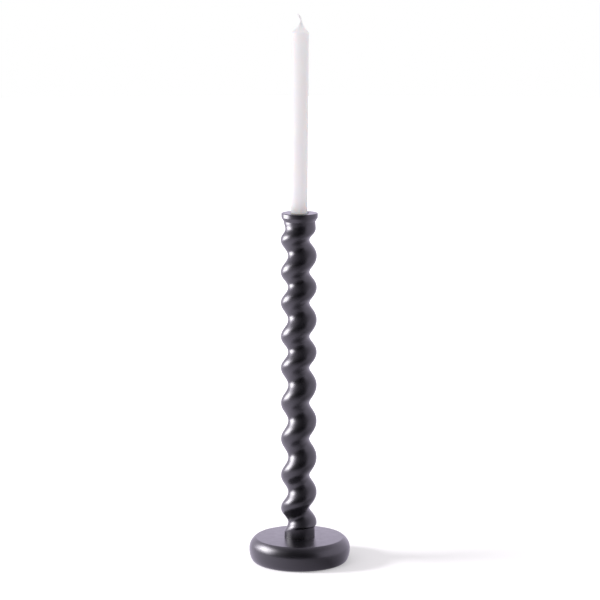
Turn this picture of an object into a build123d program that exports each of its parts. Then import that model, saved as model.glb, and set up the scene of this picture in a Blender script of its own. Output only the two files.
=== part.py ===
from build123d import *
import math
import os

# Spiral candle holder with a dinner candle. Millimetres, +Z up, the origin is the centre of the
# underside. A threaded rod up the middle pulls the candle cup, the twisted stem and the base
# together, and the candle stands loose in the cup, a little aside and aslant. Seen from -Y, +X is to
# the right.

# Candle
candle_diameter = 22.0
candle_length = 264.4  # foot to the point of the wax
candle_tip_height = 11.2
candle_tip_hollow = 1.3  # how far the pulled tip curves in from a straight cone
candle_tip_radius = 1.7
candle_shoulder_round = 0.6
candle_foot_chamfer = 1.0
wick_radius = 1.0
wick_rise = 11.3  # of the free end above the wax
wick_lean = 4.5  # of the free end to -X

# Candle cup
socket_clearance = 1.0  # all round the candle
candle_shift_share = 0.8  # of that clearance, by which the candle's foot stands to -X
socket_depth = 18.0
socket_wall = 1.6
socket_floor = 2.5
socket_mouth_chamfer = 0.7
cup_height = 11.1  # seam on the stem to the rim
rim_lip_height = 5.9
rim_flare = 3.2  # of the rim beyond the seam
rim_round = 1.1
seam_wall = 7.1  # stem's wall round the cup's spigot at the seam
boss_wall = 4.5
thread_depth = 10.0
thread_run_out = 0.5

# Twisted stem: an oval bar whose middle turns about the stem's axis
stem_length = 423.0  # base to seam
rope_offset = 4.75
rope_shift = 1.1  # of the whole twist towards -X
rope_waist = 1.8  # how much slimmer the bar is than the seam, the way it leans
rope_swell = 0.9  # how much wider the bar is across its lean
rope_fade_length = 20.0  # below the seam, where the bar widens and closes in on the axis
collar_height = 10.5  # at its middle
collar_step = 1.2  # of the collar beyond the bar
foot_blend_height = 6.5  # straight run from the bar to the collar's middle
foot_spigot_radius = 12.0
foot_spigot_length = 6.0

# Base
base_height = 32.0
base_ledge = 38.1  # flat top outside the collar
shoulder_width = 8.7
base_undercut = 7.0
top_edge_round = 3.0

# Fixings and felt
rod_radius = 4.0
rod_chamfer = 0.8
rod_tail = 2.0  # below the nut
rod_play = 1.0  # all round, inside stem and base
nut_width = 13.0
nut_height = 6.5
nut_chamfer = 0.6
washer_radius = 12.0
washer_thickness = 2.0
spring_washer_radius = 7.4
spring_washer_thickness = 2.0
spring_washer_slot = 1.5
washer_hole_clearance = 0.4
wrench_room = 2.5  # all round the large washer
pocket_spare = 2.5  # between the rod's end and the felt
felt_radius = 52.0
felt_thickness = 1.5
felt_recess = 1.0
felt_edge_clearance = 0.3

# Fits
spigot_clearance = 0.1
spigot_end_clearance = 0.3
thread_clearance = 0.05

# Where the rope leans furthest to -X, one turn apart, as shares of the stem's length. The turns
# are a little uneven, as on the real stem, and the first and the last lean lie in its ends.
lean_height_shares = (0.0005, 0.0925, 0.198, 0.3145, 0.4285, 0.54, 0.639, 0.745, 0.8415, 0.942, 1.03)
rings_per_turn = 12
ring_points = 12

# Angles in degrees
shoulder_turn = 60.0  # of the base's shoulder arc, from upright towards the flat top
candle_tilt = 0.43  # towards +X
collar_tilt = 13.4  # of the collar's upper edge
collar_low_side = 125.0  # where that edge is lowest, from +X

# Levels and radii that follow
base_underside = felt_thickness - felt_recess
base_top = base_underside + base_height
seam_level = base_top + stem_length
rim_level = seam_level + cup_height
socket_level = rim_level - socket_depth
spigot_level = socket_level - socket_floor
boss_level = spigot_level - thread_depth
collar_level = base_top + collar_height
rope_start_level = collar_level + foot_blend_height

candle_radius = candle_diameter / 2
candle_foot = socket_level + candle_radius * math.sin(math.radians(candle_tilt))
candle_place = Pos(-socket_clearance * candle_shift_share, 0, candle_foot) * Rot(0, candle_tilt, 0)
socket_radius = candle_radius + socket_clearance
spigot_radius = socket_radius + socket_wall
seam_radius = spigot_radius + seam_wall
rim_radius = seam_radius + rim_flare
rope_radius = seam_radius - rope_waist
collar_radius = rope_radius + collar_step
base_top_radius = collar_radius + base_ledge
base_girth_radius = base_top_radius + shoulder_width
base_foot_radius = base_girth_radius - base_undercut

thread_radius = rod_radius + thread_clearance
boss_radius = rod_radius + boss_wall
rod_bore_radius = rod_radius + rod_play
washer_hole_radius = rod_radius + washer_hole_clearance
pocket_radius = washer_radius + wrench_room
pocket_depth = washer_thickness + spring_washer_thickness + nut_height + rod_tail + pocket_spare
washer_seat = felt_thickness + pocket_depth
nut_top = washer_seat - washer_thickness - spring_washer_thickness
rod_foot = nut_top - nut_height - rod_tail
rod_top = spigot_level - thread_run_out


def rod_between(radius, low, high):
    """A round bar on the axis from one level to another."""
    return Pos(0, 0, low) * Cylinder(radius, high - low, align=(Align.CENTER, Align.CENTER, Align.MIN))


def turned(*outline):
    """A turned solid from the edges of half its section, drawn in the XZ plane."""
    return revolve(Plane.XZ * make_face(outline), Axis.Z)


def section_line(*points):
    """Straight edges through points given as radius and level."""
    return [Line(a, b) for a, b in zip(points, points[1:])]


def make_base():
    """The cast foot disc: flat top, round shoulder, elliptic side, and the seats in it."""
    turn = math.radians(shoulder_turn)
    shoulder_radius = shoulder_width / (1 - math.cos(turn))
    girth_level = base_top - shoulder_radius * math.sin(turn)
    girth_height = girth_level - base_underside
    shoulder = CenterArc((base_girth_radius - shoulder_radius, girth_level), shoulder_radius, 0, shoulder_turn)
    side = EllipticalCenterArc(
        (base_foot_radius, girth_level), base_undercut, girth_height, start_angle=270, arc_size=90
    )
    rest = section_line(
        (base_foot_radius, base_underside), (0, base_underside), (0, base_top), (base_top_radius, base_top)
    )
    disc = turned(shoulder, side, *rest)
    disc = fillet(disc.edges().filter_by(GeomType.CIRCLE).group_by(Axis.Z)[-1], top_edge_round)
    stem_seat = base_top - foot_spigot_length - spigot_end_clearance
    disc -= rod_between(foot_spigot_radius + spigot_clearance, stem_seat, base_top)
    disc -= rod_between(rod_bore_radius, base_underside, base_top)
    disc -= rod_between(pocket_radius, base_underside, washer_seat)
    disc -= rod_between(felt_radius + felt_edge_clearance, base_underside, felt_thickness)
    return disc


def turns_at(level):
    """Turns of the rope since its first lean to -X, at a level, from a smooth curve through the leans."""
    leans = lean_height_shares
    share = (level - base_top) / stem_length
    below = max(n for n in range(len(leans) - 1) if leans[n] <= share)
    span = leans[below + 1] - leans[below]

    def rate(n):
        first, last = max(n - 1, 0), min(n + 1, len(leans) - 1)
        return (last - first) / (leans[last] - leans[first])

    part = (share - leans[below]) / span
    start, end = rate(below) * span, rate(below + 1) * span
    rise = part**2 * (3 - 2 * part)
    return below + rise + start * part * (1 - part) ** 2 - end * part**2 * (1 - part)


def across_angle(level):
    """The way across the rope's lean at a level, in degrees from +X."""
    return 90 + 360 * turns_at(level)


def rope_ring(level):
    """The rope's level section: an oval whose middle turns, and becomes the round seam at the top."""
    nearness = max(0, 1 - (seam_level - level) / rope_fade_length)
    fade = nearness**2 * (3 - 2 * nearness)
    along = rope_radius + rope_waist * fade
    across = along + rope_swell * (1 - fade)
    turn = math.radians(across_angle(level))
    angles = [math.tau * n / ring_points - turn for n in range(ring_points)]
    oval = Spline(*[(across * math.cos(a), along * math.sin(a)) for a in angles], periodic=True)
    oval = Pos(0, rope_offset * (1 - fade), 0) * make_face(oval)
    return Pos(-rope_shift * (1 - fade), 0, level) * Rot(0, 0, across_angle(level)) * oval


def make_rope():
    """The twisted bar from the foot blend to the seam, lofted in spans of about one turn."""
    spans = math.ceil(turns_at(seam_level) - turns_at(rope_start_level))
    steps = spans * rings_per_turn
    rise = (seam_level - rope_start_level) / steps
    rings = [rope_ring(rope_start_level + rise * n) for n in range(steps + 1)]
    lofts = [loft(rings[n : n + rings_per_turn + 1]) for n in range(0, steps, rings_per_turn)]
    return lofts[0] + lofts[1:]


def make_stem():
    """The twisted stem with its collar, foot spigot, and the bores for the cup and the tie rod."""
    tilted = Rot(0, 0, collar_low_side) * Rot(0, collar_tilt, 0) * Rot(0, 0, -collar_low_side)
    collar_edge = Pos(0, 0, collar_level) * tilted * Circle(collar_radius)
    collar = loft([Pos(0, 0, base_top) * Circle(collar_radius), collar_edge], ruled=True)
    blend = loft([collar_edge, rope_ring(rope_start_level)], ruled=True)
    stem = make_rope() + blend + collar
    stem += rod_between(foot_spigot_radius, base_top - foot_spigot_length, base_top)
    stem -= rod_between(rod_bore_radius, base_top - foot_spigot_length, seam_level)
    stem -= rod_between(boss_radius + spigot_clearance, boss_level - spigot_end_clearance, seam_level)
    stem -= rod_between(spigot_radius + spigot_clearance, spigot_level - spigot_end_clearance, seam_level)
    return stem


def make_cup():
    """The flared candle cup with its spigot and threaded boss."""
    lip_level = rim_level - rim_lip_height
    cup = turned(
        *section_line(
            (0, boss_level),
            (boss_radius, boss_level),
            (boss_radius, spigot_level),
            (spigot_radius, spigot_level),
            (spigot_radius, seam_level),
            (seam_radius, seam_level),
            (rim_radius, lip_level),
            (rim_radius, rim_level),
            (0, rim_level),
            (0, boss_level),
        )
    )
    middle_radius = (seam_radius + rim_radius) / 2
    lip_edges = cup.edges().filter_by(GeomType.CIRCLE).filter_by(lambda e: e.radius > middle_radius)
    cup = fillet(lip_edges, rim_round)
    cup -= rod_between(socket_radius, socket_level, rim_level)
    mouth = cup.edges().filter_by(GeomType.CIRCLE).group_by(Axis.Z)[-1].sort_by(SortBy.RADIUS)[0]
    cup = chamfer(mouth, socket_mouth_chamfer)
    return cup - rod_between(thread_radius, boss_level, spigot_level)


def make_tie_rod():
    """The threaded rod, from below the nut up into the cup's boss."""
    rod = rod_between(rod_radius, rod_foot, rod_top)
    return chamfer(rod.edges().filter_by(GeomType.CIRCLE), rod_chamfer)


def make_base_washer():
    """The large washer that bears on the base."""
    washer = rod_between(washer_radius, washer_seat - washer_thickness, washer_seat)
    return washer - rod_between(washer_hole_radius, washer_seat - washer_thickness, washer_seat)


def make_spring_washer():
    """The spring washer, pressed flat, with its slot on the +X side."""
    low, high = nut_top, nut_top + spring_washer_thickness
    ring = rod_between(spring_washer_radius, low, high) - rod_between(washer_hole_radius, low, high)
    slot = Box(
        spring_washer_radius,
        spring_washer_slot,
        spring_washer_thickness,
        align=(Align.MIN, Align.CENTER, Align.MIN),
    )
    return ring - Pos(0, 0, low) * slot


def make_nut():
    """The hexagon nut, its corners chamfered top and bottom."""
    low = nut_top - nut_height
    hexagon = extrude(Pos(0, 0, low) * RegularPolygon(nut_width / 2, 6, major_radius=False), nut_height)
    corner_radius = nut_width / math.sqrt(3)
    round_blank = rod_between(corner_radius, low, nut_top)
    round_blank = chamfer(round_blank.edges().filter_by(GeomType.CIRCLE), nut_chamfer)
    return (hexagon & round_blank) - rod_between(thread_radius, low, nut_top)


def make_candle():
    """The wax: chamfered foot, straight body, and a tip drawn in to the wick."""
    shoulder = candle_length - candle_tip_height
    tip = SagittaArc((candle_radius, shoulder), (candle_tip_radius, candle_length), -candle_tip_hollow)
    rest = section_line(
        (candle_tip_radius, candle_length),
        (0, candle_length),
        (0, 0),
        (candle_radius, 0),
        (candle_radius, shoulder),
    )
    wax = turned(tip, *rest)
    rings = wax.edges().filter_by(GeomType.CIRCLE).group_by(Axis.Z)
    wax = fillet(rings[1], candle_shoulder_round)
    wax = chamfer(wax.edges().filter_by(GeomType.CIRCLE).group_by(Axis.Z)[0], candle_foot_chamfer)
    return candle_place * (wax - rod_between(wick_radius + thread_clearance, 0, candle_length))


def make_wick():
    """The wick: up through the wax, then over to -X in one bend."""
    bend_radius = (wick_rise**2 + wick_lean**2) / (2 * wick_lean)
    bend_angle = math.degrees(math.asin(wick_rise / bend_radius))
    run = Line((0, 0), (0, candle_length))
    bend = CenterArc((-bend_radius, candle_length), bend_radius, 0, bend_angle)
    return candle_place * sweep(Circle(wick_radius), Plane.XZ * (run + bend))


def make_felt():
    """The felt disc in the base's recess."""
    return rod_between(felt_radius, 0, felt_thickness)


parts = {
    "base": make_base(),
    "twisted_stem": make_stem(),
    "candle_cup": make_cup(),
    "tie_rod": make_tie_rod(),
    "base_washer": make_base_washer(),
    "spring_washer": make_spring_washer(),
    "base_nut": make_nut(),
    "felt_pad": make_felt(),
    "candle_wax": make_candle(),
    "candle_wick": make_wick(),
}

os.makedirs("parts", exist_ok=True)
for name, solid in parts.items():
    solid.label = name
    export_step(solid, f"parts/{name}.step")
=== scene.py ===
import math

import bmesh
import bpy
from mathutils import Matrix, Vector


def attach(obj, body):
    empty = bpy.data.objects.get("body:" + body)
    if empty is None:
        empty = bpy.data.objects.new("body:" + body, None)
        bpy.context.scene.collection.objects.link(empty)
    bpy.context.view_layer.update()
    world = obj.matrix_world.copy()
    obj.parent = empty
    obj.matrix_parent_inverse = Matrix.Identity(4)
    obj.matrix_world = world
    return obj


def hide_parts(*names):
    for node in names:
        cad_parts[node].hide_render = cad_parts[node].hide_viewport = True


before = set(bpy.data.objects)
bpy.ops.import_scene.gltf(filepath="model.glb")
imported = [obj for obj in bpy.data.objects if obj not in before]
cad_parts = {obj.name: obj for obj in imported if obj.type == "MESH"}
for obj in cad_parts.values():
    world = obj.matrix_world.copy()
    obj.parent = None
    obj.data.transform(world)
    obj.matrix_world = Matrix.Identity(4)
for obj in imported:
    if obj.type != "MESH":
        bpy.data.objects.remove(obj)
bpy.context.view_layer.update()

# A spiral candle holder with a dinner candle. The pieces are drawn in millimetres and made metres
# when they are finished, and the studio is in metres. +Z is up, and the photograph looks along +Y.
mm = 0.001

# Candle
candle_radius = 11.0
candle_length = 264.4  # foot to the point of the wax
candle_tip_height = 11.2
candle_tip_radius = 1.7
candle_foot_chamfer = 1.0
candle_tilt = math.radians(0.43)  # towards +X
candle_shift = 0.8  # of its foot to -X
shoulder_drop = 1.4  # from the shoulder down to where the wax is straight
shoulder_inset = 0.62  # of the wax at the shoulder, where the drawn tip begins
shoulder_rings = ((0.04, -0.9), (0.14, -0.5), (0.34, -0.2), (shoulder_inset, 0.0))  # inset and height
tip_hollow = 1.15  # how far the drawn tip curves in from a straight cone
tip_drift = 0.7  # of the point to +X
tip_drift_power = 1.2  # above 1, the tip drifts most near its point

# Wick: two plies laid round each other
wick_rise = 11.3  # of the free end above the wax
wick_lean = 4.5  # of the free end to -X
wick_hole_radius = 0.75
drift_start_depth = 40.0  # below the point, where the wick leaves the candle's middle
drift_end_depth = 8.0
lay_start_depth = 6.0  # below the point, where the plies begin to turn
ply_radius = 0.8
ply_aside = 0.55  # from the middle of the wick to the middle of a ply
ply_lay = 13.0  # length of one turn
ply_taper_length = 1.3
ply_taper = 0.5  # share of its thickness that a ply loses at its end

# Candle cup
socket_radius = 12.0
socket_depth = 18.0
socket_floor = 2.5
spigot_radius = 13.6
cup_height = 11.1  # seam on the stem to the rim
rim_lip_height = 5.9
rim_radius = 23.9
rim_round = 1.1
lip_round = 0.9
mouth_chamfer = 0.7
mouth_round = 0.25
boss_radius = 8.5
thread_depth = 10.0
thread_radius = 4.05

# Twisted stem: an oval bar whose middle turns about the stem's axis
stem_length = 423.0  # base to seam
seam_radius = 20.7
rope_offset = 4.75
rope_shift = 1.1  # of the whole twist towards -X
rope_waist = 1.8  # how much slimmer the bar is than the seam, the way it leans
rope_swell = 0.9  # how much wider the bar is across its lean
rope_fade_length = 20.0  # below the seam, where the bar widens and closes in on the axis
collar_height = 10.5  # at its middle
collar_radius = 20.1
collar_round = 0.9
collar_tilt = math.radians(13.4)  # of the collar's upper edge
collar_low_side = math.radians(125.0)  # where that edge is lowest, from +X
foot_blend_height = 6.5  # straight run from the bar to the collar's middle
foot_spigot_radius = 12.0
foot_spigot_length = 6.0

# Where the rope leans furthest to -X, one turn apart, as shares of the stem's length. The turns
# are a little uneven, as on the real stem, and the first and the last lean lie in its ends.
lean_height_shares = (0.0005, 0.0925, 0.198, 0.3145, 0.4285, 0.54, 0.639, 0.745, 0.8415, 0.942, 1.03)

# Base
base_height = 32.0
base_top_radius = 58.2
base_girth_radius = 66.9
base_foot_radius = 59.9
shoulder_turn = math.radians(60.0)  # of the shoulder's arc, from upright towards the flat top
top_edge_round = 3.0
felt_radius = 52.0
felt_thickness = 1.5
felt_recess = 1.0
felt_edge_clearance = 0.3
pocket_radius = 14.5
washer_seat = 16.5
rod_bore_radius = 5.0

# The crushed edge of the felt: inset and level
felt_edge_points = ((0.3, felt_thickness), (0.0, felt_thickness - 0.35), (0.02, 0.4), (0.35, 0.0))

# Gaps inside the seams
fit = 0.1
end_fit = 0.3

# Levels and sizes that follow
base_underside = felt_thickness - felt_recess
base_top = base_underside + base_height
seam_level = base_top + stem_length
rim_level = seam_level + cup_height
lip_level = rim_level - rim_lip_height
socket_level = rim_level - socket_depth
spigot_level = socket_level - socket_floor
boss_level = spigot_level - thread_depth
collar_level = base_top + collar_height
rope_start_level = collar_level + foot_blend_height
rope_radius = seam_radius - rope_waist
spigot_hole_radius = foot_spigot_radius + fit
candle_foot = socket_level + candle_radius * math.sin(candle_tilt)
candle_lean = Matrix.Rotation(candle_tilt, 4, "Y")
candle_place = Matrix.Translation((-candle_shift, 0, candle_foot)) @ candle_lean
shoulder_level = candle_length - candle_tip_height
wick_bend_radius = (wick_rise**2 + wick_lean**2) / (2 * wick_lean)
wick_free_length = wick_bend_radius * math.asin(wick_rise / wick_bend_radius)

# The end of the wax round the wick: radius, and height above the drawn tip
wax_end_rings = (
    (0.85 * candle_tip_radius, 0.25),
    (1.2 * wick_hole_radius, 0.35),
    (wick_hole_radius, 0.1),
)

# Fineness of the meshes
turned_steps = 160
felt_turned_steps = 120
felt_rings = 12
top_edge_steps = 6
shoulder_steps = 14
undercut_steps = 20
round_steps = 6
collar_round_steps = 4
mouth_round_steps = 3
rope_sides = 112
rope_ring_rise = 1.3
rope_rings_per_bore_ring = 30
candle_sides = 96
straight_steps = 30
tip_steps = 14
ply_sides = 14
ply_steps = 44
merge_distance = 0.001
level_tolerance = 0.01
radius_tolerance = 0.0005  # share of a ring's radius

# Camera
camera_place = (0.0005, -3.310, 0.9105)
camera_turn = math.radians(90.0 - 9.588)  # a little below level
camera_reach = 30.0
sensor_width = 36.0
picture_width = 600.0
focal_length = 2562.0  # in pixels of that width

# Lamps. A brightness of 1 is white.
gloss_target = (0, 0, 0.36)
key_place = (-0.66, 0.05, 0.4)
key_size = (0.4, 0.36)
key_brightness = 11.5
key_colour = (1.0, 0.98, 1.0)
wide_place = (-0.67, 0.05, 0.42)
wide_size = (0.75, 0.6)
wide_brightness = 3.0
wide_colour = (1.0, 0.93, 1.1)
shadow_target = (0, 0, 0)
shadow_place = (-1.2, -0.12, 0.6)
shadow_size = (0.36, 0.2)
shadow_brightness = 119.0
shadow_colour = (1.0, 1.0, 1.0)

# Floor. Its glow and its mirrored levels change with the distance from the object. The mirrored levels
# are painted light and shade, a glow that gloss sees in place of the lit paint.
floor_radius = 7.0
floor_sides = 96
floor_paint = (0.595, 0.569, 0.602)
floor_glow = 0.33  # at the object, and 1 far away
glow_start, glow_end = 0.12, 0.9
far_start, far_end = 0.3, 0.9

# Levels round the object, 1 being white, at angles in degrees from the viewer, +X being 90. Walls,
# ceiling and floor are what the pieces mirror, and the soft levels are what lights them.
wall_levels = (
    (-180, 1.6),
    (-135, 1.1),
    (-90, 0.6),
    (-45, 0.12),
    (-20, 0.02),
    (20, 0.02),
    (36, 0.06),
    (54, 0.95),
    (80, 1.1),
    (135, 1.2),
    (180, 1.6),
)
even_angles = (-180, -135, -90, -45, 0, 45, 90, 135, 180)
ceiling_levels = tuple(zip(even_angles, (0.96, 0.8, 0.5, 0.19, 0.09, 0.27, 0.57, 0.75, 0.96)))
# The two floor rings are painted light for gloss: brightest towards the lamps at -X and behind, darker in
# front; the near ring also holds a painted shadow of the object at 45, to the front right.
near_floor_painted_light_levels = tuple(zip(even_angles, (1.25, 1.41, 1.41, 1.1, 0.6, 0.25, 0.79, 1.05, 1.25)))
far_floor_painted_light_levels = tuple(zip(even_angles, (1.29, 1.34, 1.18, 0.69, 0.12, 0.55, 1.09, 1.24, 1.29)))
soft_levels = (
    (-180, 1.0),
    (-90, 1.1),
    (-60, 1.45),
    (-28, 1.8),
    (0, 0.95),
    (18, 0.15),
    (45, 0.45),
    (85, 2.0),
    (120, 1.3),
    (180, 1.0),
)
studio_peak = 2.0  # brightest level
studio_tint = (1.0, 0.915, 1.14)  # of what the pieces mirror
ceiling_start, ceiling_end = 0.5, 0.9  # heights from level to straight above, 0 to 1
overhead_start, overhead_end = 0.2, 0.8
overhead_share = 0.65  # of the soft light that is left straight above


# Nodes, and the groups that several finishes share


def set_sockets(tree, node, values):
    """Links a node's input sockets to other sockets, or gives them plain values."""
    for socket, value in values.items():
        if isinstance(value, bpy.types.NodeSocket):
            tree.links.new(value, node.inputs[socket])
        else:
            node.inputs[socket].default_value = value


def add_node(tree, kind, values=None, **settings):
    """A node with its settings, and its input sockets linked or set."""
    node = tree.nodes.new(kind)
    for key, value in settings.items():
        setattr(node, key, value)
    set_sockets(tree, node, values or {})
    return node


def new_group(name, numbers, result, result_kind):
    """A node group that reads a place and some numbers, with its start and end nodes."""
    group = bpy.data.node_groups.new(name, "ShaderNodeTree")
    group.interface.new_socket(name="Place", in_out="INPUT", socket_type="NodeSocketVector")
    for label, value in numbers.items():
        socket = group.interface.new_socket(name=label, in_out="INPUT", socket_type="NodeSocketFloat")
        socket.default_value = value
    group.interface.new_socket(name=result, in_out="OUTPUT", socket_type=result_kind)
    return group, group.nodes.new("NodeGroupInput"), group.nodes.new("NodeGroupOutput")


def make_mottle_group():
    """Soft uneven patches between two values."""
    numbers = {"Scale": 100.0, "Detail": 3.0, "Low": 0.0, "High": 1.0}
    group, start, end = new_group("soft_mottle", numbers, "Value", "NodeSocketFloat")
    noise_low, noise_high = 0.3, 0.7  # the noise seldom leaves these
    noise = add_node(
        group,
        "ShaderNodeTexNoise",
        {
            "Vector": start.outputs["Place"],
            "Scale": start.outputs["Scale"],
            "Detail": start.outputs["Detail"],
        },
    )
    spread = add_node(
        group,
        "ShaderNodeMapRange",
        {
            "Value": noise.outputs["Fac"],
            "From Min": noise_low,
            "From Max": noise_high,
            "To Min": start.outputs["Low"],
            "To Max": start.outputs["High"],
        },
    )
    set_sockets(group, end, {"Value": spread.outputs["Result"]})
    return group


def make_relief_group():
    """A coarse and a fine unevenness of the surface, as a normal."""
    numbers = {
        "Coarse Scale": 200.0,
        "Coarse Depth": 0.02 * mm,
        "Fine Scale": 1500.0,
        "Fine Depth": 0.004 * mm,
    }
    group, start, end = new_group("surface_relief", numbers, "Normal", "NodeSocketVector")
    surface = {}
    for size in ("Coarse", "Fine"):
        noise = add_node(
            group,
            "ShaderNodeTexNoise",
            {"Vector": start.outputs["Place"], "Scale": start.outputs[f"{size} Scale"], "Detail": 2.0},
        )
        relief_of_size = {"Distance": start.outputs[f"{size} Depth"], "Height": noise.outputs["Fac"]}
        bump = add_node(group, "ShaderNodeBump", {"Strength": 1.0, **relief_of_size, **surface})
        surface = {"Normal": bump.outputs["Normal"]}
    set_sockets(group, end, surface)
    return group


soft_mottle = make_mottle_group()
surface_relief = make_relief_group()


def mottled(tree, place, scale, low=0.0, high=1.0, detail=3.0):
    """A number that changes softly over the piece, from a low to a high value."""
    sockets = {"Place": place, "Scale": scale, "Detail": detail, "Low": low, "High": high}
    return add_node(tree, "ShaderNodeGroup", sockets, node_tree=soft_mottle).outputs["Value"]


def relief(tree, place, coarse, fine):
    """A normal with a coarse and a fine unevenness, each given as its scale and its depth in metres."""
    sockets = {
        "Place": place,
        "Coarse Scale": coarse[0],
        "Coarse Depth": coarse[1],
        "Fine Scale": fine[0],
        "Fine Depth": fine[1],
    }
    return add_node(tree, "ShaderNodeGroup", sockets, node_tree=surface_relief).outputs["Normal"]


def between(tree, share, first, second):
    """A colour between two, by a share from 0 to 1."""
    sockets = {"Factor": share, "A": (*first, 1.0), "B": (*second, 1.0)}
    return add_node(tree, "ShaderNodeMix", sockets, data_type="RGBA").outputs["Result"]


# Finishes


def new_finish(name, stretch=None):
    """A material, its tree, its shader, and the piece's own coordinates, stretched for a grain."""
    material = bpy.data.materials.new(name)
    material.use_nodes = True
    tree = material.node_tree
    shader = tree.nodes["Principled BSDF"]
    place = add_node(tree, "ShaderNodeTexCoord").outputs["Object"]
    if stretch:
        mapping = add_node(tree, "ShaderNodeMapping", {"Vector": place, "Scale": stretch})
        place = mapping.outputs["Vector"]
    return material, tree, shader, place


def make_enamel():
    """Black satin enamel, sprayed on cast metal: faint orange peel and uneven gloss."""
    material, tree, shader, place = new_finish("black_satin_enamel")
    patches = mottled(tree, place, scale=45.0)
    sockets = {
        "Base Color": between(tree, patches, (0.0026, 0.0021, 0.0036), (0.0038, 0.0032, 0.0052)),
        "Roughness": mottled(tree, place, scale=120.0, low=0.29, high=0.34),
        "Normal": relief(tree, place, coarse=(210.0, 0.004 * mm), fine=(1600.0, 0.001 * mm)),
        "IOR": 1.8,
    }
    set_sockets(tree, shader, sockets)
    return material


def make_wax():
    """White candle wax: long drawn streaks, faint clouding, soft light inside."""
    material, tree, shader, place = new_finish("white_candle_wax", stretch=(1.0, 1.0, 0.06))
    clouds = mottled(tree, place, scale=160.0)
    sockets = {
        "Base Color": between(tree, clouds, (0.895, 0.872, 0.893), (0.935, 0.917, 0.935)),
        "Roughness": mottled(tree, place, scale=260.0, low=0.48, high=0.6),
        "Normal": relief(tree, place, coarse=(170.0, 0.06 * mm), fine=(900.0, 0.008 * mm)),
        "IOR": 1.44,
        "Specular IOR Level": 0.12,
        "Subsurface Weight": 1.0,
        "Subsurface Radius": (1.0, 0.8, 0.7),
        "Subsurface Scale": 6.0 * mm,
    }
    set_sockets(tree, shader, sockets)
    return material


def make_wick_cotton():
    """Plied cotton, stiff with wax: fibres along the plies."""
    material, tree, shader, place = new_finish("waxed_wick_cotton", stretch=(1.0, 1.0, 0.35))
    fibres = mottled(tree, place, scale=2600.0)
    sockets = {
        "Base Color": between(tree, fibres, (0.88, 0.85, 0.875), (0.97, 0.95, 0.965)),
        "Roughness": mottled(tree, place, scale=1800.0, low=0.6, high=0.85),
        "Normal": relief(tree, place, coarse=(1500.0, 0.08 * mm), fine=(6000.0, 0.03 * mm)),
        "Sheen Weight": 0.25,
    }
    set_sockets(tree, shader, sockets)
    return material


def make_felt():
    """Black wool felt: tangled fibres, dull."""
    material, tree, shader, place = new_finish("black_wool_felt")
    fibres = mottled(tree, place, scale=900.0, detail=6.0)
    sockets = {
        "Base Color": between(tree, fibres, (0.016, 0.016, 0.018), (0.05, 0.05, 0.054)),
        "Roughness": mottled(tree, place, scale=500.0, low=0.86, high=0.98),
        "Normal": relief(tree, place, coarse=(800.0, 0.3 * mm), fine=(3500.0, 0.1 * mm)),
        "Sheen Weight": 0.4,
    }
    set_sockets(tree, shader, sockets)
    return material


def make_zinc_steel():
    """Zinc-plated steel of the fixings: turned grain and dull patches."""
    material, tree, shader, place = new_finish("zinc_plated_steel", stretch=(1.0, 1.0, 6.0))
    patches = mottled(tree, place, scale=220.0)
    sockets = {
        "Base Color": between(tree, patches, (0.50, 0.51, 0.53), (0.62, 0.63, 0.65)),
        "Roughness": mottled(tree, place, scale=700.0, low=0.28, high=0.42),
        "Normal": relief(tree, place, coarse=(900.0, 0.01 * mm), fine=(4000.0, 0.004 * mm)),
        "Metallic": 1.0,
    }
    set_sockets(tree, shader, sockets)
    return material


enamel = make_enamel()
wax = make_wax()
wick_cotton = make_wick_cotton()
felt = make_felt()
zinc_steel = make_zinc_steel()


# Turned pieces: a pen draws half the section, which then turns round the axis


def start_outline(radius, level):
    """A section with its first point, which is the pen."""
    section = bmesh.new()
    pen = bmesh.ops.create_vert(section, co=(radius, 0, level))["vert"][0]
    return section, pen


def draw_line(section, pen, *points):
    """Straight edges to points given as radius and level."""
    for radius, level in points:
        pen = bmesh.ops.extrude_vert_indiv(section, verts=[pen])["verts"][0]
        pen.co = (radius, 0, level)
    return pen


def draw_arc(section, pen, centre, turn, steps, stretch=1.0):
    """An arc about a centre, clockwise seen from -Y, and stretched in height to part of an ellipse."""
    before = set(section.verts)
    radius, level = centre
    last = bmesh.ops.spin(
        section, geom=[pen], cent=(radius, 0, level), axis=(0, 1, 0), angle=turn, steps=steps
    )["geom_last"]
    pen = next(item for item in last if isinstance(item, bmesh.types.BMVert))
    new = [vert for vert in section.verts if vert not in before]
    bmesh.ops.scale(section, vec=(1, 1, stretch), space=Matrix.Translation((0, 0, -level)), verts=new)
    return pen


def turn_section(section, steps=turned_steps):
    """The section turned once round the axis."""
    bmesh.ops.spin(
        section,
        geom=section.verts[:] + section.edges[:],
        cent=(0, 0, 0),
        axis=(0, 0, 1),
        angle=math.tau,
        steps=steps,
        use_merge=True,
    )
    bmesh.ops.remove_doubles(section, verts=section.verts, dist=merge_distance)
    return section


# Tubes: a circle of radius 1 is extruded from place to place


def ring_at(radius, level, aside=0.0):
    """The place of a level ring, moved aside to +X."""
    return Matrix.Translation((aside, 0, level)) @ Matrix.Diagonal((radius, radius, 1, 1))


def grow_tube(body, sides, places, capped=False):
    """A tube whose rings lie at these places."""
    verts = bmesh.ops.create_circle(body, cap_ends=False, segments=sides, radius=1)["verts"]
    circle = [edge for edge in body.edges if edge.is_wire]
    bmesh.ops.transform(body, matrix=places[0], verts=verts)
    if capped:
        bmesh.ops.edgeloop_fill(body, edges=circle)
    for last, place in zip(places, places[1:]):
        grown = bmesh.ops.extrude_edge_only(body, edges=circle)["geom"]
        verts = [item for item in grown if isinstance(item, bmesh.types.BMVert)]
        circle = [item for item in grown if isinstance(item, bmesh.types.BMEdge)]
        bmesh.ops.transform(body, matrix=place @ last.inverted(), verts=verts)
    if capped:
        bmesh.ops.edgeloop_fill(body, edges=circle)


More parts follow.
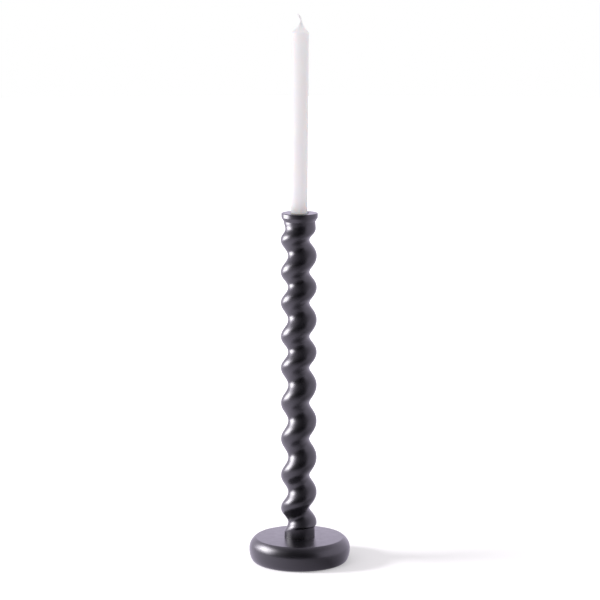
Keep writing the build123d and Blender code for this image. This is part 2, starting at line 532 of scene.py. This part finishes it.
def round_ring(body, place, width, steps):
    """Rounds the ring of edges at a place."""
    inverse = place.inverted()

    def on_ring(vert):
        """Whether a point lies on the circle at that place."""
        near = inverse @ vert.co
        return abs(near.z) < level_tolerance and abs(near.xy.length - 1) < radius_tolerance

    ring = [edge for edge in body.edges if all(on_ring(vert) for vert in edge.verts)]
    bmesh.ops.bevel(
        body, geom=ring, offset=width, affect="EDGES", segments=steps, profile=0.5, material=-1
    )


# Pieces


def add_object(name, data):
    """An object of a mesh, lamp or camera, in the scene."""
    item = bpy.data.objects.new(name, data)
    bpy.context.scene.collection.objects.link(item)
    return item


def add_piece(body, name, finish, rides_on, node, crease=30.0):
    """The drawn body as a finished piece in metres, riding on its part."""
    bmesh.ops.remove_doubles(body, verts=body.verts, dist=merge_distance)
    bmesh.ops.recalc_face_normals(body, faces=body.faces)
    bmesh.ops.scale(body, vec=(mm, mm, mm), verts=body.verts)
    mesh = bpy.data.meshes.new(name)
    body.to_mesh(mesh)
    body.free()
    mesh.shade_smooth()
    mesh.set_sharp_from_angle(angle=math.radians(crease))
    mesh.materials.append(finish)
    piece = add_object(name, mesh)
    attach(piece, rides_on)
    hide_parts(node)


def make_base_casting():
    """The foot disc: flat top, soft edge, round shoulder, elliptic side, seats underneath."""
    shoulder_radius = (base_girth_radius - base_top_radius) / (1 - math.cos(shoulder_turn))
    shoulder_centre = base_girth_radius - shoulder_radius
    girth_level = base_top - shoulder_radius * math.sin(shoulder_turn)
    edge_level = base_top - top_edge_round
    edge_rise = edge_level - girth_level
    edge_centre = shoulder_centre + math.sqrt((shoulder_radius - top_edge_round) ** 2 - edge_rise**2)
    edge_angle = math.atan2(edge_rise, edge_centre - shoulder_centre)
    undercut_stretch = (girth_level - base_underside) / (base_girth_radius - base_foot_radius)
    recess_radius = felt_radius + felt_edge_clearance
    stem_seat = base_top - foot_spigot_length - end_fit

    section, pen = start_outline(spigot_hole_radius, base_top)
    pen = draw_line(section, pen, (edge_centre, base_top))
    pen = draw_arc(section, pen, (edge_centre, edge_level), math.pi / 2 - edge_angle, top_edge_steps)
    pen = draw_arc(section, pen, (shoulder_centre, girth_level), edge_angle, shoulder_steps)
    undercut_centre = (base_foot_radius, girth_level)
    pen = draw_arc(section, pen, undercut_centre, math.pi / 2, undercut_steps, undercut_stretch)
    draw_line(
        section,
        pen,
        (recess_radius, base_underside),
        (recess_radius, felt_thickness),
        (pocket_radius, felt_thickness),
        (pocket_radius, washer_seat),
        (rod_bore_radius, washer_seat),
        (rod_bore_radius, stem_seat),
        (spigot_hole_radius, stem_seat),
        (spigot_hole_radius, base_top),
    )
    add_piece(turn_section(section), "base_casting", enamel, "holder", "base")


def turns_at(level):
    """Turns of the rope since its first lean to -X, at a level, on a smooth curve through the leans."""
    leans = lean_height_shares
    share = (level - base_top) / stem_length
    below = max(n for n in range(len(leans) - 1) if leans[n] <= share)
    span = leans[below + 1] - leans[below]

    def rate(n):
        """Turns per share of the stem's length, at a lean."""
        first = max(n - 1, 0)
        last = min(n + 1, len(leans) - 1)
        return (last - first) / (leans[last] - leans[first])

    part = (share - leans[below]) / span
    start = rate(below) * span
    end = rate(below + 1) * span
    rise = part**2 * (3 - 2 * part)
    return below + rise + start * part * (1 - part) ** 2 - end * part**2 * (1 - part)


def rope_ring(level):
    """The rope's level section: an oval whose middle turns, and becomes the round seam at the top."""
    nearness = max(0, 1 - (seam_level - level) / rope_fade_length)
    fade = nearness**2 * (3 - 2 * nearness)
    along = rope_radius + rope_waist * fade
    across = along + rope_swell * (1 - fade)
    turn = math.pi / 2 + math.tau * turns_at(level)
    return (
        Matrix.Translation((-rope_shift * (1 - fade), 0, level))
        @ Matrix.Rotation(turn, 4, "Z")
        @ Matrix.Translation((0, rope_offset * (1 - fade), 0))
        @ Matrix.Diagonal((across, along, 1, 1))
        @ Matrix.Rotation(-turn, 4, "Z")
    )


def collar_edge():
    """The place of the collar's upper edge, which is lower at one side."""
    return (
        Matrix.Translation((0, 0, collar_level))
        @ Matrix.Rotation(collar_low_side, 4, "Z")
        @ Matrix.Rotation(collar_tilt, 4, "Y")
        @ Matrix.Rotation(-collar_low_side, 4, "Z")
        @ Matrix.Diagonal((collar_radius, collar_radius, 1, 1))
    )


def make_stem_casting():
    """The twisted bar with its collar and foot spigot, and the bores up its middle."""
    rope_length = seam_level - rope_start_level
    rope_steps = round(rope_length / rope_ring_rise)
    ring_rise = rope_length / rope_steps
    foot_level = base_top - foot_spigot_length
    boss_seat = boss_level - end_fit
    spigot_seat = spigot_level - end_fit
    bore_ring_rise = ring_rise * rope_rings_per_bore_ring
    bore_steps = int((boss_seat - foot_level) / bore_ring_rise)
    places = [
        ring_at(collar_radius, base_top),
        collar_edge(),
        *[rope_ring(rope_start_level + ring_rise * n) for n in range(rope_steps + 1)],
        ring_at(spigot_radius + fit, seam_level),
        ring_at(spigot_radius + fit, spigot_seat),
        ring_at(boss_radius + fit, spigot_seat),
        ring_at(boss_radius + fit, boss_seat),
        ring_at(rod_bore_radius, boss_seat),
        *[ring_at(rod_bore_radius, foot_level + bore_ring_rise * n) for n in range(bore_steps, -1, -1)],
        ring_at(foot_spigot_radius, foot_level),
        ring_at(foot_spigot_radius, base_top),
        ring_at(collar_radius, base_top),
    ]
    body = bmesh.new()
    grow_tube(body, rope_sides, places)
    bmesh.ops.remove_doubles(body, verts=body.verts, dist=merge_distance)
    round_ring(body, collar_edge(), collar_round, collar_round_steps)
    add_piece(body, "stem_casting", enamel, "holder", "twisted_stem", crease=40.0)


def make_cup_casting():
    """The flared cup with its socket, spigot and threaded boss."""
    section, pen = start_outline(0, socket_level)
    draw_line(
        section,
        pen,
        (socket_radius, socket_level),
        (socket_radius, rim_level - mouth_chamfer),
        (socket_radius + mouth_chamfer, rim_level),
        (rim_radius, rim_level),
        (rim_radius, lip_level),
        (seam_radius, seam_level),
        (spigot_radius, seam_level),
        (spigot_radius, spigot_level),
        (boss_radius, spigot_level),
        (boss_radius, boss_level),
        (thread_radius, boss_level),
        (thread_radius, spigot_level),
        (0, spigot_level),
    )
    cup = turn_section(section)
    round_ring(cup, ring_at(rim_radius, rim_level), rim_round, round_steps)
    round_ring(cup, ring_at(rim_radius, lip_level), lip_round, round_steps)
    round_ring(cup, ring_at(socket_radius + mouth_chamfer, rim_level), mouth_round, mouth_round_steps)
    add_piece(cup, "cup_casting", enamel, "holder", "candle_cup")


def tip_ring(share):
    """A ring of the drawn tip, at a share of its height."""
    wide = candle_radius - shoulder_inset
    radius = wide + (candle_tip_radius - wide) * share - tip_hollow * math.sin(math.pi * share)
    level = shoulder_level + candle_tip_height * share
    return ring_at(radius, level, tip_drift * share**tip_drift_power)


def make_candle_wax():
    """The candle: chamfered foot, straight body, and a tip drawn in to the wick, a little aside."""
    straight = shoulder_level - shoulder_drop - candle_foot_chamfer
    straight_rises = [straight * n / straight_steps for n in range(straight_steps + 1)]
    places = [
        ring_at(wick_hole_radius, 0),
        ring_at(candle_radius - candle_foot_chamfer, 0),
        *[ring_at(candle_radius, candle_foot_chamfer + rise) for rise in straight_rises],
        *[ring_at(candle_radius - inset, shoulder_level + height) for inset, height in shoulder_rings],
        *[tip_ring(n / tip_steps) for n in range(1, tip_steps + 1)],
        *[ring_at(radius, candle_length + height, tip_drift) for radius, height in wax_end_rings],
        ring_at(wick_hole_radius, candle_length - drift_end_depth, tip_drift),
        ring_at(wick_hole_radius, candle_length - drift_start_depth),
        ring_at(wick_hole_radius, 0),
    ]
    body = bmesh.new()
    grow_tube(body, candle_sides, places)
    bmesh.ops.transform(body, matrix=candle_place, verts=body.verts)
    add_piece(body, "candle_body", wax, "candle", "candle_wax", crease=50.0)


def ply_ring(run, side):
    """The place of a ply's section, at a run above or below the wax's point."""
    angle = max(0, run) / wick_bend_radius
    drift_share = (run + drift_start_depth) / (drift_start_depth - drift_end_depth)
    drift = tip_drift * min(1, max(0, drift_share))
    middle = (
        drift - wick_bend_radius * (1 - math.cos(angle)),
        0,
        candle_length + min(0, run) + wick_bend_radius * math.sin(angle),
    )
    twist = side + math.tau * max(0, run + lay_start_depth) / ply_lay
    taper = max(0, 1 - (wick_free_length - run) / ply_taper_length)
    thickness = 1 - ply_taper * taper**2
    return (
        Matrix.Translation(middle)
        @ Matrix.Rotation(-angle, 4, "Y")
        @ Matrix.Rotation(twist, 4, "Z")
        @ Matrix.Translation((ply_aside * thickness, 0, 0))
        @ Matrix.Diagonal((ply_radius * thickness, ply_radius * thickness, 1, 1))
    )


def make_wick():
    """Two cotton plies laid round each other, stiff with wax, bent over to -X."""
    laid = lay_start_depth + wick_free_length
    laid_runs = [-lay_start_depth + laid * n / ply_steps for n in range(ply_steps + 1)]
    runs = [-candle_length, -drift_start_depth, -drift_end_depth, *laid_runs]
    body = bmesh.new()
    for side in (0, math.pi):
        grow_tube(body, ply_sides, [ply_ring(run, side) for run in runs], capped=True)
    bmesh.ops.transform(body, matrix=candle_place, verts=body.verts)
    add_piece(body, "wick_plies", wick_cotton, "candle", "candle_wick", crease=60.0)


def make_felt_disc():
    """The felt disc, its cut edge a little crushed."""
    radii = [felt_radius * n / felt_rings for n in range(felt_rings)]
    section, pen = start_outline(0, felt_thickness)
    draw_line(
        section,
        pen,
        *[(radius, felt_thickness) for radius in radii[1:]],
        *[(felt_radius - inset, level) for inset, level in felt_edge_points],
        *[(radius, 0) for radius in reversed(radii)],
    )
    disc = turn_section(section, felt_turned_steps)
    add_piece(disc, "felt_disc", felt, "holder", "felt_pad")


make_base_casting()
make_stem_casting()
make_cup_casting()
make_candle_wax()
make_wick()
make_felt_disc()

for node in ("tie_rod", "base_washer", "spring_washer", "base_nut"):
    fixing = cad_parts[node]
    fixing.data.materials.clear()
    fixing.data.materials.append(zinc_steel)


# Studio


def add_lamp(name, place, target, size, brightness, colour, gloss=True, matte=True):
    """A soft box at a place, facing a target, that shows in gloss, lights matte finishes, or both."""
    width, height = size
    light = bpy.data.lights.new(name, "AREA")
    light.shape = "RECTANGLE"
    light.size = width
    light.size_y = height
    light.energy = brightness * width * height * math.pi
    light.color = colour
    lamp = add_object(name, light)
    lamp.location = place
    lamp.rotation_euler = (Vector(target) - Vector(place)).to_track_quat("-Z", "Y").to_euler()
    lamp.visible_camera = False
    lamp.visible_glossy = gloss
    lamp.visible_diffuse = matte
    return lamp


def add_math(tree, operation, *numbers):
    """The result of an operation on numbers and sockets."""
    return add_node(tree, "ShaderNodeMath", dict(enumerate(numbers)), operation=operation).outputs[0]


def add_smooth_range(tree, value, start, end, low=0.0, high=1.0):
    """A number that goes smoothly from low to high while a value goes from start to end."""
    sockets = {"Value": value, "From Min": start, "From Max": end, "To Min": low, "To Max": high}
    smooth = add_node(tree, "ShaderNodeMapRange", sockets, interpolation_type="SMOOTHSTEP")
    return smooth.outputs["Result"]


def add_side_and_height(tree, toward):
    """The side that a direction points to, 0 or 1 behind, 0.5 in front and 0.75 at +X, and its height."""
    axes = add_node(tree, "ShaderNodeSeparateXYZ", {"Vector": toward})
    to_viewer = add_math(tree, "MULTIPLY", axes.outputs["Y"], -1.0)
    turn = add_math(tree, "ARCTAN2", axes.outputs["X"], to_viewer)
    side = add_math(tree, "MULTIPLY_ADD", turn, 1 / math.tau, 0.5)
    return side, axes.outputs["Z"]


def add_levels(tree, side, levels):
    """The level at a side, as a share of the brightest one."""
    ramp = add_node(tree, "ShaderNodeValToRGB", {"Fac": side})
    stops = ramp.color_ramp.elements
    while len(stops) < len(levels):
        stops.new(1.0)
    for stop, (angle, level) in zip(stops, levels):
        stop.position = angle / 360 + 0.5
        stop.color = (level / studio_peak,) * 3 + (1.0,)
    return ramp.outputs["Color"]


def add_mirrored_tone(tree, side, share, first_levels, second_levels):
    """The tinted tone that pieces mirror at a side, between two rings of levels."""
    first = add_levels(tree, side, first_levels)
    second = add_levels(tree, side, second_levels)
    tone = add_node(tree, "ShaderNodeMix", {"Factor": share, "A": first, "B": second}, data_type="RGBA")
    sockets = {"Factor": 1.0, "A": tone.outputs["Result"], "B": (*studio_tint, 1.0)}
    tinted = add_node(tree, "ShaderNodeMix", sockets, data_type="RGBA", blend_type="MULTIPLY")
    return tinted.outputs["Result"]


def add_light(tree, kind, colour, strength):
    """An emission or a background of a colour and strength."""
    return add_node(tree, kind, {"Color": colour, "Strength": strength}).outputs[0]


def choose(tree, choice, otherwise, chosen):
    """One shader where a choice is 1, and another where it is 0."""
    return add_node(tree, "ShaderNodeMixShader", {0: choice, 1: otherwise, 2: chosen}).outputs[0]


def make_floor_finish():
    """Pale paint with a glow that makes it white to the camera out of the shadow; to gloss, a glow of
    painted light with a painted shadow of the object in place of the lit paint; clear from below.
    """
    material = bpy.data.materials.new("pale_studio_floor")
    material.use_nodes = True
    material.cycles.emission_sampling = "NONE"
    tree = material.node_tree
    tree.nodes.clear()
    path = add_node(tree, "ShaderNodeLightPath")
    geometry = add_node(tree, "ShaderNodeNewGeometry")
    place = add_node(tree, "ShaderNodeTexCoord").outputs["Object"]
    distance = add_node(tree, "ShaderNodeVectorMath", {0: place}, operation="LENGTH").outputs["Value"]
    side = add_side_and_height(tree, place)[0]

    glow_level = add_smooth_range(tree, distance, glow_start, glow_end, floor_glow, 1.0)
    camera_glow = add_math(tree, "MULTIPLY", glow_level, path.outputs["Is Camera Ray"])
    glow = add_light(tree, "ShaderNodeEmission", (1.0, 1.0, 1.0, 1.0), camera_glow)
    paint = add_node(tree, "ShaderNodeBsdfDiffuse", {"Color": (*floor_paint, 1.0)}).outputs[0]
    seen = add_node(tree, "ShaderNodeAddShader", {0: paint, 1: glow}).outputs[0]

    # What gloss sees of the floor: a glow of painted light and painted shadow, not the lit paint.
    far = add_smooth_range(tree, distance, far_start, far_end)
    mirrored_tone = add_mirrored_tone(tree, side, far, near_floor_painted_light_levels, far_floor_painted_light_levels)
    mirrored = add_light(tree, "ShaderNodeEmission", mirrored_tone, studio_peak)
    shown = choose(tree, path.outputs["Is Glossy Ray"], seen, mirrored)
    clear = add_node(tree, "ShaderNodeBsdfTransparent").outputs[0]
    one_sided = choose(tree, geometry.outputs["Backfacing"], shown, clear)
    add_node(tree, "ShaderNodeOutputMaterial", {"Surface": one_sided})
    return material


def add_floor():
    """The round floor of the studio."""
    disc = bmesh.new()
    bmesh.ops.create_circle(disc, cap_ends=True, segments=floor_sides, radius=floor_radius)
    mesh = bpy.data.meshes.new("studio_floor")
    disc.to_mesh(mesh)
    disc.free()
    mesh.materials.append(make_floor_finish())
    floor = add_object("studio_floor", mesh)
    return floor


def set_world():
    """White to the camera, soft levels as light, and in reflections walls that turn into a ceiling."""
    world = bpy.data.worlds.new("studio")
    bpy.context.scene.world = world
    world.use_nodes = True
    world.cycles.sampling_method = "NONE"
    tree = world.node_tree
    tree.nodes.clear()
    path = add_node(tree, "ShaderNodeLightPath")
    toward = add_node(tree, "ShaderNodeTexCoord").outputs["Generated"]
    side, height = add_side_and_height(tree, toward)

    upward = add_smooth_range(tree, height, ceiling_start, ceiling_end)
    mirrored_tone = add_mirrored_tone(tree, side, upward, wall_levels, ceiling_levels)
    mirrored = add_light(tree, "ShaderNodeBackground", mirrored_tone, studio_peak)
    overhead_peak = studio_peak * overhead_share
    soft_peak = add_smooth_range(tree, height, overhead_start, overhead_end, studio_peak, overhead_peak)
    soft = add_light(tree, "ShaderNodeBackground", add_levels(tree, side, soft_levels), soft_peak)
    white = add_light(tree, "ShaderNodeBackground", (1.0, 1.0, 1.0, 1.0), 1.0)
    unseen = choose(tree, path.outputs["Is Glossy Ray"], soft, mirrored)
    seen = choose(tree, path.outputs["Is Camera Ray"], unseen, white)
    add_node(tree, "ShaderNodeOutputWorld", {"Surface": seen})


def set_camera():
    """The photograph's view, from a little above."""
    lens = bpy.data.cameras.new("view")
    lens.sensor_width = sensor_width
    lens.lens = sensor_width * focal_length / picture_width
    lens.clip_end = camera_reach
    camera = add_object("view", lens)
    camera.location = camera_place
    camera.rotation_euler = (camera_turn, 0, 0)
    bpy.context.scene.camera = camera


def light_floor_only(lamp, floor):
    """Lets a lamp light nothing but the floor."""
    lit = bpy.data.collections.new("floor_only")
    lit.objects.link(floor)
    lamp.light_linking.receiver_collection = lit


add_lamp("key_gloss", key_place, gloss_target, key_size, key_brightness, key_colour, matte=False)
add_lamp("wide_gloss", wide_place, gloss_target, wide_size, wide_brightness, wide_colour, matte=False)
floor = add_floor()
shadow_lamp = add_lamp(
    "shadow_matte",
    shadow_place,
    shadow_target,
    shadow_size,
    shadow_brightness,
    shadow_colour,
    gloss=False,
)
light_floor_only(shadow_lamp, floor)
set_world()
set_camera()
bpy.context.scene.view_settings.view_transform = "Standard"
